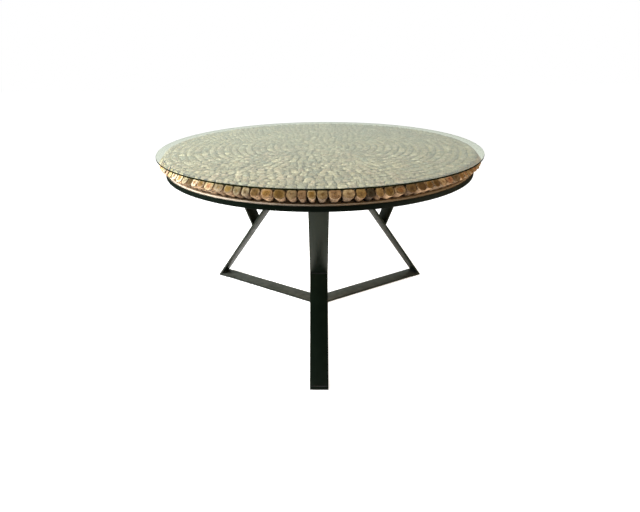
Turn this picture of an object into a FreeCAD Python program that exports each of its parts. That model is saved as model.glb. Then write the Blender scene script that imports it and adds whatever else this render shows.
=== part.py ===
import FreeCAD, Part
import math
import os
import Sketcher

# Round dining table. A loose glass disc lies on a mosaic of short branch lengths, glued in rings to
# a round board. The board sits in a black iron hoop on three flat top rails. Each rail stands on one
# leg: a slanting bar from the foot, a brace that forks outwards from it, and a bar along the floor.
# Millimetres, +Z up. The origin is on the floor under the middle of the top, and one leg points
# along -Y, to the front.

doc = FreeCAD.newDocument("round_dining_table")

# Driving sizes

SIZES = (
    ("table_height", 760),
    ("hoop_radius", 622),
    ("glass_overhang", 28),
    ("rim_overhang", 11),
    ("glass_thickness", 5),
    ("glass_edge_bevel", 1),
    ("glass_pad_height", 1.5),
    ("glass_pad_radius", 6),
    ("branch_height", 51),
    ("branch_width", 30),
    ("branch_gap", 1),
    ("fan_drop", 563.5),
    ("rim_face_drop", 15),
    ("rim_face_half", 17),
    ("board_thickness", 12.5),
    ("board_gap", 1),
    ("hoop_height", 17),
    ("hoop_thickness", 5),
    ("bar_width", 68),
    ("bar_thickness", 9),
    ("foot_reach", 620),
    ("foot_pad_height", 3),
    ("foot_pad_length", 60),
    ("leg_top_reach", 101),
    ("brace_height", 342),
    ("brace_top_inset", 101),
    ("screw_head_radius", 5),
    ("screw_head_height", 3),
    ("screw_shank_radius", 2.4),
    ("screw_bite", 10),
    ("screw_point", 4),
    ("screw_hole_gap", 0.3),
)

sheet = doc.addObject("Spreadsheet::Sheet", "Sizes")
for row, (alias, number) in enumerate(SIZES, start=1):
    sheet.set(f"A{row}", alias.replace("_", " "))
    sheet.set(f"B{row}", str(number))
    sheet.setAlias(f"B{row}", alias)
doc.recompute()

# Counts, directions and shares

LEGS = (("front", -90), ("right", 30), ("left", 150))
BRANCH_RINGS = 21
GLASS_PADS = 8
RIM_SIDES = 12
GOLDEN_ANGLE = math.radians(137.5)
SCREW_PLACE_SHARES = (0.28, 0.56, 0.94)
PAD_CIRCLE_SHARE = 0.72
RING_UNEVEN_SHARE = 0.18
RIM_UNEVEN_SHARE = 0.2
RIM_REACH_SHARE = 0.15
RIM_THIN_SHARE = 0.1
SCREW_CROWN_SHARE = 0.6
# Corners of a branch's level cut, as shares of half its width and half its length
CELL_CORNER_SHARES = (
    (1, -0.5),
    (1, 0.45),
    (0.55, 0.95),
    (-0.5, 1),
    (-1, 0.5),
    (-1, -0.45),
    (-0.55, -0.95),
    (0.5, -1),
)

# Heights above the floor, from the glass down

GLASS_BOTTOM = "(Sizes.table_height - Sizes.glass_thickness)"
WOOD_TOP = f"({GLASS_BOTTOM} - Sizes.glass_pad_height)"
BOARD_TOP = f"({WOOD_TOP} - Sizes.branch_height)"
BOARD_BOTTOM = f"({BOARD_TOP} - Sizes.board_thickness)"
RAIL_BOTTOM = f"({BOARD_BOTTOM} - Sizes.bar_thickness)"
FLOOR_BAR_TOP = "(Sizes.foot_pad_height + Sizes.bar_thickness)"

# Radii from the table's axis

GLASS_RADIUS = "(Sizes.hoop_radius + Sizes.glass_overhang)"
RIM_RADIUS = "(Sizes.hoop_radius + Sizes.rim_overhang)"
HOOP_BORE = "(Sizes.hoop_radius - Sizes.hoop_thickness)"
BOARD_RADIUS = f"({HOOP_BORE} - Sizes.board_gap)"

# Slopes of the leg, as level travel for each unit of height

LEG_SLOPE = (
    f"((Sizes.foot_reach - Sizes.leg_top_reach) / ({RAIL_BOTTOM} - Sizes.foot_pad_height))"
)


def leg_face(height):
    """Reach of the leg bar's outer face at a height."""
    return f"(Sizes.foot_reach - {LEG_SLOPE} * ({height} - Sizes.foot_pad_height))"


BRACE_FOOT = leg_face("Sizes.brace_height")
BRACE_TOP = "(Sizes.hoop_radius - Sizes.brace_top_inset)"
BRACE_SLOPE = f"(({BRACE_TOP} - {BRACE_FOOT}) / ({RAIL_BOTTOM} - Sizes.brace_height))"
# The thickness of a slanting bar measured level, and how far up the leg the brace's seat runs
LEG_CUT = f"(Sizes.bar_thickness * sqrt(1 + {LEG_SLOPE}^2))"
BRACE_CUT = f"(Sizes.bar_thickness * sqrt(1 + {BRACE_SLOPE}^2))"
SEAT_TOP = f"(Sizes.brace_height + {BRACE_CUT} / ({LEG_SLOPE} + {BRACE_SLOPE}))"


# Helpers

parts = []


def size(text):
    """The present number behind an expression."""
    return float(sheet.evalExpression(str(text)))


def outline(body, role, corners):
    """A closed straight-sided sketch, each corner held at its two distances from the origin."""
    sketch = body.newObject("Sketcher::SketchObject", f"{body.Name}_outline")
    plane = [f for f in body.Origin.OriginFeatures if f.Role == role][0]
    sketch.AttachmentSupport = [(plane, "")]
    sketch.MapMode = "FlatFace"
    places = [FreeCAD.Vector(size(x), size(y), 0) for x, y in corners]
    for start, end in zip(places, places[1:] + places[:1]):
        sketch.addGeometry(Part.LineSegment(start, end), False)
    count = len(corners)
    for i in range(count):
        sketch.addConstraint(Sketcher.Constraint("Coincident", i, 2, (i + 1) % count, 1))
    for i, corner in enumerate(corners):
        for kind, text in zip(("DistanceX", "DistanceY"), corner):
            if size(text) < 0:
                held = Sketcher.Constraint(kind, i, 1, -1, 1, -size(text))
                text = f"-{text}"
            else:
                held = Sketcher.Constraint(kind, -1, 1, i, 1, size(text))
            index = sketch.addConstraint(held)
            sketch.setExpression(f"Constraints[{index}]", str(text))
    return sketch


def turned(name, corners):
    """A body turned about the Z axis from a half section of (radius, height) corners."""
    body = doc.addObject("PartDesign::Body", name)
    sketch = outline(body, "XZ_Plane", corners)
    turning = body.newObject("PartDesign::Revolution", f"{name}_turning")
    turning.Profile = sketch
    turning.ReferenceAxis = (sketch, ["V_Axis"])
    turning.Angle = 360
    return body


def bar(name, role, corners, length, symmetric):
    """A body cut from flat bar: an outline on an origin plane, given a length square to it."""
    body = doc.addObject("PartDesign::Body", name)
    sketch = outline(body, role, corners)
    pad = body.newObject("PartDesign::Pad", f"{name}_pad")
    pad.Profile = sketch
    pad.SideType = "Symmetric" if symmetric else "One side"
    pad.setExpression("Length", length)
    return body


def cylinder(name, radius, bottom, height):
    """An upright cylinder on the table's axis."""
    rod = doc.addObject("Part::Cylinder", name)
    rod.setExpression("Radius", radius)
    rod.setExpression("Height", height)
    rod.setExpression("Placement.Base.z", bottom)
    return rod


def both(kind, name, base, tool):
    """A boolean of two objects: Part::Cut or Part::Common."""
    result = doc.addObject(kind, name)
    result.Base = base
    result.Tool = tool
    return result


def move(piece, reach, degrees):
    """Carry a piece out from the axis to a reach, in the direction of an angle."""
    piece.setExpression("Placement.Base.x", f"{reach} * cos({degrees} deg)")
    piece.setExpression("Placement.Base.y", f"{reach} * sin({degrees} deg)")


def face_leg(piece, degrees):
    """Turn a piece that is drawn along +X to its own leg."""
    upright = FreeCAD.Vector(0, 0, 1)
    piece.Placement = FreeCAD.Placement(FreeCAD.Vector(), FreeCAD.Rotation(upright, degrees))


def group(name, members):
    """Separate solids that share one node."""
    holder = doc.addObject("Part::Compound", name)
    holder.Links = members
    return holder


def keep(piece, label):
    """Give a finished piece the name of its node."""
    piece.Label = label
    parts.append(piece)


# Glass disc and its clear pads

BEVEL = "Sizes.glass_edge_bevel"
GLASS_FACE_RADIUS = f"({GLASS_RADIUS} - {BEVEL})"
glass = turned(
    "GlassTop",
    (
        ("0", GLASS_BOTTOM),
        (GLASS_FACE_RADIUS, GLASS_BOTTOM),
        (GLASS_RADIUS, f"({GLASS_BOTTOM} + {BEVEL})"),
        (GLASS_RADIUS, f"(Sizes.table_height - {BEVEL})"),
        (GLASS_FACE_RADIUS, "Sizes.table_height"),
        ("0", "Sizes.table_height"),
    ),
)
keep(glass, "glass_top")

glass_pads = []
for i in range(GLASS_PADS):
    dot = cylinder(f"GlassPad{i}", "Sizes.glass_pad_radius", WOOD_TOP, "Sizes.glass_pad_height")
    move(dot, f"{PAD_CIRCLE_SHARE} * {RIM_RADIUS}", 360 * (i + 0.5) / GLASS_PADS)
    glass_pads.append(dot)
keep(group("GlassPads", glass_pads), "glass_pads")

# Branch mosaic. Every branch points away from one focus far below the middle of the top, so the
# sticks stand upright in the centre and lean out at the rim. All but the rim's are cut level.

wood_top = size(WOOD_TOP)
board_top = size(BOARD_TOP)
focus = wood_top - size("Sizes.fan_drop")
gap = size("Sizes.branch_gap")
branch_width = size("Sizes.branch_width")


def swing(index, seed):
    """Repeatable unevenness from -1 to 1."""
    return math.sin(GOLDEN_ANGLE * (index + 1) * (seed + 2))


def cells(count, seed, uneven_share):
    """Middle angle and half angle of each uneven cell around a ring.

    The seed also turns the ring, so that its joints don't line up with its neighbours'.
    """
    widths = [1 + uneven_share * swing(i, seed) for i in range(count)]
    turn = 2 * math.pi / sum(widths)
    start = seed
    for width in widths:
        half = width * turn / 2
        yield start + half, half
        start += 2 * half


def around(radius, angle, height):
    """A point at a radius and height, in the direction of an angle in radians."""
    return FreeCAD.Vector(radius * math.cos(angle), radius * math.sin(angle), height)


def toward_focus(corner, height):
    """Where the line from a corner to the focus crosses a height."""
    share = (height - focus) / (corner.z - focus)
    return FreeCAD.Vector(corner.x * share, corner.y * share, height)


def stick(ends):
    """A straight-sided length of branch, from its upper outline down to the board."""
    feet = [toward_focus(corner, board_top) for corner in ends]
    faces = [Part.Face(Part.makePolygon(ring + ring[:1])) for ring in (ends, feet)]
    for i in range(len(ends)):
        side = (ends[i - 1], ends[i], feet[i], feet[i - 1], ends[i - 1])
        faces.append(Part.Face(Part.makePolygon(side)))
    skin = Part.makeCompound(faces)
    skin.sewShape()
    return Part.makeSolid(skin.Shells[0])


def mosaic(name, label, sticks):
    """One node of separate branches."""
    piece = doc.addObject("Part::Feature", name)
    piece.Shape = Part.makeCompound(sticks)
    piece.Placement = FreeCAD.Placement()
    keep(piece, label)


# Rim row: the round end face of each branch looks outwards and up, about as wide as it is tall
face_radius = size(RIM_RADIUS)
face_height = wood_top - size("Sizes.rim_face_drop")
face_half = size("Sizes.rim_face_half")
lean = math.atan2(face_height - focus, face_radius)


def rim_stick(angle, half_angle, reach, half_height):
    """One leaning branch, its round end square to its length."""
    radius = face_radius + reach * math.cos(lean)
    height = face_height + reach * math.sin(lean)
    half_width = radius * half_angle - gap / 2
    along = FreeCAD.Vector(-math.sin(angle), math.cos(angle), 0)
    up = around(-math.sin(lean), angle, math.cos(lean))
    ends = []
    for i in range(RIM_SIDES):
        turn = 2 * math.pi * (i + 0.5) / RIM_SIDES
        offset = along * (half_width * math.cos(turn)) + up * (half_height * math.sin(turn))
        ends.append(around(radius, angle, height) + offset)
    return stick(ends)


rim_count = round(2 * math.pi * face_radius / (2 * face_half))
rim_sticks = []
for i, (angle, half_angle) in enumerate(cells(rim_count, BRANCH_RINGS + 1, RIM_UNEVEN_SHARE)):
    reach = RIM_REACH_SHARE * face_half * swing(i, 3)
    half_height = face_half * (1 - RIM_THIN_SHARE * abs(swing(i, 8)))
    rim_sticks.append(rim_stick(angle, half_angle, reach, half_height))
mosaic("BranchRim", "branch_rim", rim_sticks)

# Inner rings fill the level top from the rim's upper side to the middle
upper_side = around(face_radius - face_half * math.sin(lean), 0, face_height + face_half * math.cos(lean))
rings_radius = toward_focus(upper_side, wood_top).x
ring_pitch = rings_radius / (BRANCH_RINGS + 0.5)


def ring_stick(angle, half_angle, radius):
    """One branch cut level, its outline a rounded cell of the ring."""
    half_length = (ring_pitch - gap) / 2
    half_turn = half_angle - gap / 2 / radius
    ends = []
    for across, out in CELL_CORNER_SHARES:
        ends.append(around(radius + out * half_length, angle + across * half_turn, wood_top))
    return stick(ends)


for ring in range(1, BRANCH_RINGS + 1):
    radius = ring * ring_pitch
    count = round(2 * math.pi * radius / branch_width)
    ring_sticks = []
    for angle, half_angle in cells(count, ring, RING_UNEVEN_SHARE):
        ring_sticks.append(ring_stick(angle, half_angle, radius))
    mosaic(f"BranchRing{ring}", f"branch_ring_{ring:02d}", ring_sticks)

centre_ends = []
for i in range(RIM_SIDES):
    centre_ends.append(around((ring_pitch - gap) / 2, 2 * math.pi * i / RIM_SIDES, wood_top))
mosaic("BranchCentre", "branch_centre", [stick(centre_ends)])

# Board, with a pilot hole for each screw

SCREW_HOLE_RADIUS = "(Sizes.screw_shank_radius + Sizes.screw_hole_gap)"
screws = []
pilots = []
rail_holes = {}
for leg, degrees in LEGS:
    rail_holes[leg] = []
    for i, share in enumerate(SCREW_PLACE_SHARES):
        reach = f"{share} * {HOOP_BORE}"
        name = f"{leg.capitalize()}{i}"
        screw = turned(
            f"Screw{name}",
            (
                ("0", f"({RAIL_BOTTOM} - Sizes.screw_head_height)"),
                (
                    f"{SCREW_CROWN_SHARE} * Sizes.screw_head_radius",
                    f"({RAIL_BOTTOM} - Sizes.screw_head_height)",
                ),
                ("Sizes.screw_head_radius", f"({RAIL_BOTTOM} - Sizes.screw_head_height / 2)"),
                ("Sizes.screw_head_radius", RAIL_BOTTOM),
                ("Sizes.screw_shank_radius", RAIL_BOTTOM),
                (
                    "Sizes.screw_shank_radius",
                    f"({BOARD_BOTTOM} + Sizes.screw_bite - Sizes.screw_point)",
                ),
                ("0", f"({BOARD_BOTTOM} + Sizes.screw_bite)"),
            ),
        )
        move(screw, reach, degrees)
        screws.append(screw)
        pilot = cylinder(f"Pilot{name}", SCREW_HOLE_RADIUS, BOARD_BOTTOM, "Sizes.screw_bite")
        move(pilot, reach, degrees)
        pilots.append(pilot)
        hole = cylinder(f"RailHole{name}", SCREW_HOLE_RADIUS, RAIL_BOTTOM, "Sizes.bar_thickness")
        move(hole, reach, 0)
        rail_holes[leg].append(hole)

disc = cylinder("BoardDisc", BOARD_RADIUS, BOARD_BOTTOM, "Sizes.board_thickness")
board = both("Part::Cut", "BackingBoard", disc, group("PilotHoles", pilots))
keep(board, "backing_board")
keep(group("BoardScrews", screws), "board_screws")

# Iron hoop around the board

hoop = turned(
    "RimHoop",
    (
        (HOOP_BORE, RAIL_BOTTOM),
        ("Sizes.hoop_radius", RAIL_BOTTOM),
        ("Sizes.hoop_radius", f"({RAIL_BOTTOM} + Sizes.hoop_height)"),
        (HOOP_BORE, f"({RAIL_BOTTOM} + Sizes.hoop_height)"),
    ),
)
keep(hoop, "rim_hoop")

# Three legs. The level bars meet in the middle on mitres of a third of a turn.

HALF_WIDTH = "(Sizes.bar_width / 2)"
MITRE_DEPTH = f"({HALF_WIDTH} / sqrt(3))"


def level_bar_plan(length):
    """A flat bar seen from above, pointed where it meets the other two."""
    return (
        ("0", "0"),
        (MITRE_DEPTH, f"-{HALF_WIDTH}"),
        (length, f"-{HALF_WIDTH}"),
        (length, HALF_WIDTH),
        (MITRE_DEPTH, HALF_WIDTH),
    )


for leg, degrees in LEGS:
    name = leg.capitalize()

    rail_plan = bar(
        f"RailPlan{name}",
        "XY_Plane",
        level_bar_plan("Sizes.hoop_radius"),
        "Sizes.bar_thickness",
        False,
    )
    rail_plan.setExpression("Placement.Base.z", RAIL_BOTTOM)
    bore = cylinder(f"HoopBore{name}", HOOP_BORE, RAIL_BOTTOM, "Sizes.bar_thickness")
    rail_blank = both("Part::Common", f"RailBlank{name}", rail_plan, bore)
    holes = group(f"RailHoles{name}", rail_holes[leg])
    rail = both("Part::Cut", f"TopRail{name}", rail_blank, holes)
    face_leg(rail, degrees)
    keep(rail, f"top_rail_{leg}")

    leg_bar = bar(
        f"LegBar{name}",
        "XZ_Plane",
        (
            (leg_face(FLOOR_BAR_TOP), FLOOR_BAR_TOP),
            ("Sizes.leg_top_reach", RAIL_BOTTOM),
            (f"(Sizes.leg_top_reach - {LEG_CUT})", RAIL_BOTTOM),
            (f"({leg_face(FLOOR_BAR_TOP)} - {LEG_CUT})", FLOOR_BAR_TOP),
        ),
        "Sizes.bar_width",
        True,
    )
    face_leg(leg_bar, degrees)
    keep(leg_bar, f"leg_bar_{leg}")

    brace = bar(
        f"LegBrace{name}",
        "XZ_Plane",
        (
            (BRACE_FOOT, "Sizes.brace_height"),
            (BRACE_TOP, RAIL_BOTTOM),
            (f"({BRACE_TOP} - {BRACE_CUT})", RAIL_BOTTOM),
            (leg_face(SEAT_TOP), SEAT_TOP),
        ),
        "Sizes.bar_width",
        True,
    )
    face_leg(brace, degrees)
    keep(brace, f"leg_brace_{leg}")

    floor_plan = bar(
        f"FloorPlan{name}",
        "XY_Plane",
        level_bar_plan("Sizes.foot_reach"),
        "Sizes.bar_thickness",
        False,
    )
    floor_plan.setExpression("Placement.Base.z", "Sizes.foot_pad_height")
    floor_side = bar(
        f"FloorSide{name}",
        "XZ_Plane",
        (
            ("0", "Sizes.foot_pad_height"),
            ("Sizes.foot_reach", "Sizes.foot_pad_height"),
            (leg_face(FLOOR_BAR_TOP), FLOOR_BAR_TOP),
            ("0", FLOOR_BAR_TOP),
        ),
        "Sizes.bar_width",
        True,
    )
    floor_bar = both("Part::Common", f"FloorBar{name}", floor_plan, floor_side)
    face_leg(floor_bar, degrees)
    keep(floor_bar, f"floor_bar_{leg}")

    foot_pad = bar(
        f"FootPad{name}",
        "XZ_Plane",
        (
            ("(Sizes.foot_reach - Sizes.foot_pad_length)", "0"),
            ("Sizes.foot_reach", "0"),
            ("Sizes.foot_reach", "Sizes.foot_pad_height"),
            ("(Sizes.foot_reach - Sizes.foot_pad_length)", "Sizes.foot_pad_height"),
        ),
        "Sizes.bar_width",
        True,
    )
    face_leg(foot_pad, degrees)
    keep(foot_pad, f"foot_pad_{leg}")

# Check everything, then write one file for each piece

doc.recompute()
for item in doc.Objects:
    if {"Invalid", "Error"} & set(item.State):
        raise RuntimeError(f"{item.Name} could not be worked out")
for piece in parts:
    if piece.Shape.isNull() or not piece.Shape.isValid():
        raise RuntimeError(f"{piece.Label} has no valid shape")
    if not all(solid.Volume > 0 for solid in piece.Shape.Solids):
        raise RuntimeError(f"{piece.Label} holds a solid that is inside out")

os.makedirs("parts", exist_ok=True)
for piece in parts:
    piece.Shape.exportStep(f"parts/{piece.Label}.step")
    print(f"{piece.Label}: {len(piece.Shape.Solids)} solids, {piece.Shape.Volume:.0f} mm3")
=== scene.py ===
import math
from collections import namedtuple

import bmesh
import bpy
import numpy as np
from mathutils import Matrix, Vector


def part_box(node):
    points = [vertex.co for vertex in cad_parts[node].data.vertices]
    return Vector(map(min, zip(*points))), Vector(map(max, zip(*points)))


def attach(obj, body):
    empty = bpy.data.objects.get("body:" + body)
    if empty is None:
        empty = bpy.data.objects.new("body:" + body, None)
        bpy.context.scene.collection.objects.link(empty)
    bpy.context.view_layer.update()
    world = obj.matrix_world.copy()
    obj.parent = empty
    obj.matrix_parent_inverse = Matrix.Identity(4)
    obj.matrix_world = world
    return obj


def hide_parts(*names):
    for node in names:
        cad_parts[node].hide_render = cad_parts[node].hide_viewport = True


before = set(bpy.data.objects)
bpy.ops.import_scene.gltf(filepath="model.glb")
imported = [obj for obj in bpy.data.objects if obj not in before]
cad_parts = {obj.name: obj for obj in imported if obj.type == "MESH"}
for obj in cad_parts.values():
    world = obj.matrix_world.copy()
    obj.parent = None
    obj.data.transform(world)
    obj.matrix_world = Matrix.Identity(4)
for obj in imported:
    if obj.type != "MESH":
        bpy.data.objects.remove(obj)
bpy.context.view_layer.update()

# Round dining table: a loose glass disc over a mosaic of branch lengths in a black iron base.
# Metres, +Z up, the origin on the floor under the middle of the top, the front leg along -Y.

MM = 0.001
BODY = "root"
LEGS = ("front", "right", "left")
# How white the surroundings stay to a ray that has passed the glass, and to a scattered one
SEEN_THROUGH_GLASS, SEEN_BY_BOUNCE = 0.77, 0.85
rng = np.random.default_rng(20)


# What the frame says

def points_of(node):
    """The corners of a CAD node as an array."""
    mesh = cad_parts[node].data
    places = np.empty(len(mesh.vertices) * 3, np.float32)
    mesh.vertices.foreach_get("co", places)
    return places.reshape(-1, 3).astype(float)


def spread(points):
    """Distance of points from the table's axis."""
    return np.hypot(points[:, 0], points[:, 1])


glass_low, glass_high = (corner[2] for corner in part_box("glass_top"))
glass_radius = min(abs(side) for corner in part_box("glass_top") for side in corner[:2])
board_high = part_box("backing_board")[1][2]
hoop_low, hoop_high = (corner[2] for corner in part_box("rim_hoop"))
hoop_radius = spread(points_of("rim_hoop")).max()
hoop_bore = spread(points_of("rim_hoop")).min()


def fan_focus():
    """The point on the axis that every branch leads away from."""
    points = points_of("branch_centre")
    low, high = points[:, 2].min(), points[:, 2].max()
    middle = (low + high) / 2
    narrow = spread(points[points[:, 2] < middle]).max()
    wide = spread(points[points[:, 2] > middle]).max()
    return np.array((0, 0, low - (high - low) * narrow / (wide - narrow)))


# Mesh helpers

def unit(vector):
    return vector / np.linalg.norm(vector)


def mesh_object(name, vertices, faces, materials, slots=None, sharp=40):
    """A smooth-shaded mesh object, with edges kept sharp over an angle in degrees."""
    mesh = bpy.data.meshes.new(name)
    mesh.from_pydata([tuple(v) for v in vertices], [], [tuple(f) for f in faces])
    for material in materials:
        mesh.materials.append(material)
    if slots is not None:
        mesh.polygons.foreach_set("material_index", slots)
    mesh.polygons.foreach_set("use_smooth", [True] * len(mesh.polygons))
    mesh.set_sharp_from_angle(angle=math.radians(sharp))
    mesh.update()
    piece = bpy.data.objects.new(name, mesh)
    bpy.context.scene.collection.objects.link(piece)
    return piece


def fit(piece, slot, *nodes):
    """Put a piece on the table's body, in place of CAD nodes where it stands for them."""
    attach(piece, BODY)
    if nodes:
        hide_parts(*nodes)
    return piece


def grid_faces(rows, sides, start=0):
    """Quads between rings of vertices that lie one after another."""
    return [
        (
            start + row * sides + i,
            start + row * sides + (i + 1) % sides,
            start + (row + 1) * sides + (i + 1) % sides,
            start + (row + 1) * sides + i,
        )
        for row in range(rows - 1)
        for i in range(sides)
    ]


def lathe(profile, sides):
    """Vertices and faces of a closed profile of (radius, height) turned about the Z axis."""
    turns = 2 * np.pi * np.arange(sides) / sides
    rows = [
        np.stack((r * np.cos(turns), r * np.sin(turns), np.full(sides, z)), 1) for r, z in profile
    ]
    faces = grid_faces(len(rows), sides)
    return np.concatenate(rows), faces


def rounded(corners, radius, steps=4):
    """A closed (radius, height) profile with each corner rounded by an arc."""
    path = []
    count = len(corners)
    for i, corner in enumerate(np.array(corners, float)):
        before = unit(np.array(corners[i - 1]) - corner)
        after = unit(np.array(corners[(i + 1) % count]) - corner)
        half = math.acos(np.clip(before @ after, -1, 1)) / 2
        centre = corner + unit(before + after) * radius / math.sin(half)
        reach = radius / math.tan(half)
        start = corner + before * reach - centre
        end = corner + after * reach - centre
        for step in range(steps + 1):
            share = step / steps
            path.append(centre + radius * unit(start * (1 - share) + end * share))
    return path


# Materials

BROWN_BARK = (
    (0.32, (0.040, 0.018, 0.008)),
    (0.50, (0.230, 0.130, 0.062)),
    (0.68, (0.420, 0.270, 0.150)),
)
GREY_BARK = ((0.32, (0.045, 0.028, 0.016)), (0.55, (0.240, 0.170, 0.105)), (0.7, (0.40, 0.30, 0.20)))
BARE_WOOD = ((0.3, (0.34, 0.19, 0.10)), (0.7, (0.58, 0.39, 0.22)))
PALE_BARK = (0.46, 0.39, 0.27)
# How bright a branch is: a few are nearly black
WEATHERED = ((0.0, 0.20), (0.05, 0.40), (0.12, 0.90), (1.0, 1.28))
RIM_SAPWOOD = (
    (0.0, (0.49, 0.31, 0.12)),
    (0.25, (0.33, 0.26, 0.15)),
    (0.5, (0.49, 0.29, 0.17)),
    (0.75, (0.72, 0.55, 0.34)),
    (1.0, (0.38, 0.24, 0.08)),
)
HEARTWOOD = (
    (0.0, (0.34, 0.17, 0.04)),
    (0.3, (0.27, 0.16, 0.05)),
    (0.55, (0.44, 0.19, 0.09)),
    (0.8, (0.33, 0.19, 0.04)),
    (1.0, (0.17, 0.09, 0.03)),
)
RING_SAPWOOD = (
    (0.0, (0.47, 0.435, 0.355)),
    (0.25, (0.33, 0.34, 0.30)),
    (0.5, (0.46, 0.385, 0.335)),
    (0.75, (0.63, 0.595, 0.505)),
    (1.0, (0.37, 0.335, 0.26)),
)
# What darkens a sawn end: the colour that it is multiplied by
YEAR_RING, STAIN, SPECK = (0.60, 0.48, 0.38), (0.48, 0.38, 0.30), (0.36, 0.27, 0.20)
PEBBLE, CRACK = (0.50, 0.48, 0.46), (0.09, 0.05, 0.03)
YEAR_RING_PITCH, FINE_RING_PITCH = 3.6 * MM, 1.2 * MM
PITH_RADIUS = 4.2 * MM

# The strengths go from 0 to 1. pebble_scale: how fine the pebbled darkening is. bark_rim: the
# colour at a sawn end's edge. shades: how bright the branches are. tint_across: painted
# light that lightens or colours the ends from the table's left to its right side. tint_along: what
# colours the ends from the table's front to its back. relief: depth of the sawn face's roughness.
EndLook = namedtuple(
    "EndLook",
    "sapwood heart_strength ring_strength stain_strength speck_strength pebble_strength"
    " pebble_scale bark_strength bark_rim shades tint_across tint_along relief",
)
RIM_END = EndLook(
    sapwood=RIM_SAPWOOD,
    heart_strength=0.95,
    ring_strength=0.6,
    stain_strength=0.9,
    speck_strength=1.0,
    pebble_strength=0.5,
    pebble_scale=75.0,
    bark_strength=0.7,
    bark_rim=(0.14, 0.07, 0.03),
    shades=WEATHERED,
    # Painted light: the rim's ends grow paler towards the table's left, where the light falls
    # strongest
    tint_across=((0.12, (1.50, 1.95, 2.55)), (0.42, (1.0, 1.0, 1.0))),
    tint_along=((0.0, (0.84, 0.82, 0.80)), (0.25, (1.0, 1.0, 1.0))),
    relief=1.4 * MM,
)
RING_END = EndLook(
    sapwood=RING_SAPWOOD,
    heart_strength=0.25,
    ring_strength=0.15,
    stain_strength=0.7,
    speck_strength=0.3,
    pebble_strength=1.0,
    pebble_scale=130.0,
    bark_strength=0.6,
    bark_rim=(0.25, 0.22, 0.165),
    shades=((0.0, 1.12), (1.0, 1.52)),
    # Painted light: a faint cool tint towards the table's left, where the cool lamp stands
    tint_across=((0.0, (1.0, 1.0, 1.03)), (1.0, (1.0, 1.0, 1.0))),
    tint_along=((0.15, (1.09, 1.02, 1.07)), (0.6, (1.0, 1.0, 1.02))),
    relief=0.9 * MM,
)


# Length over which tints change across the table
TINT_SPAN = 1.25


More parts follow.
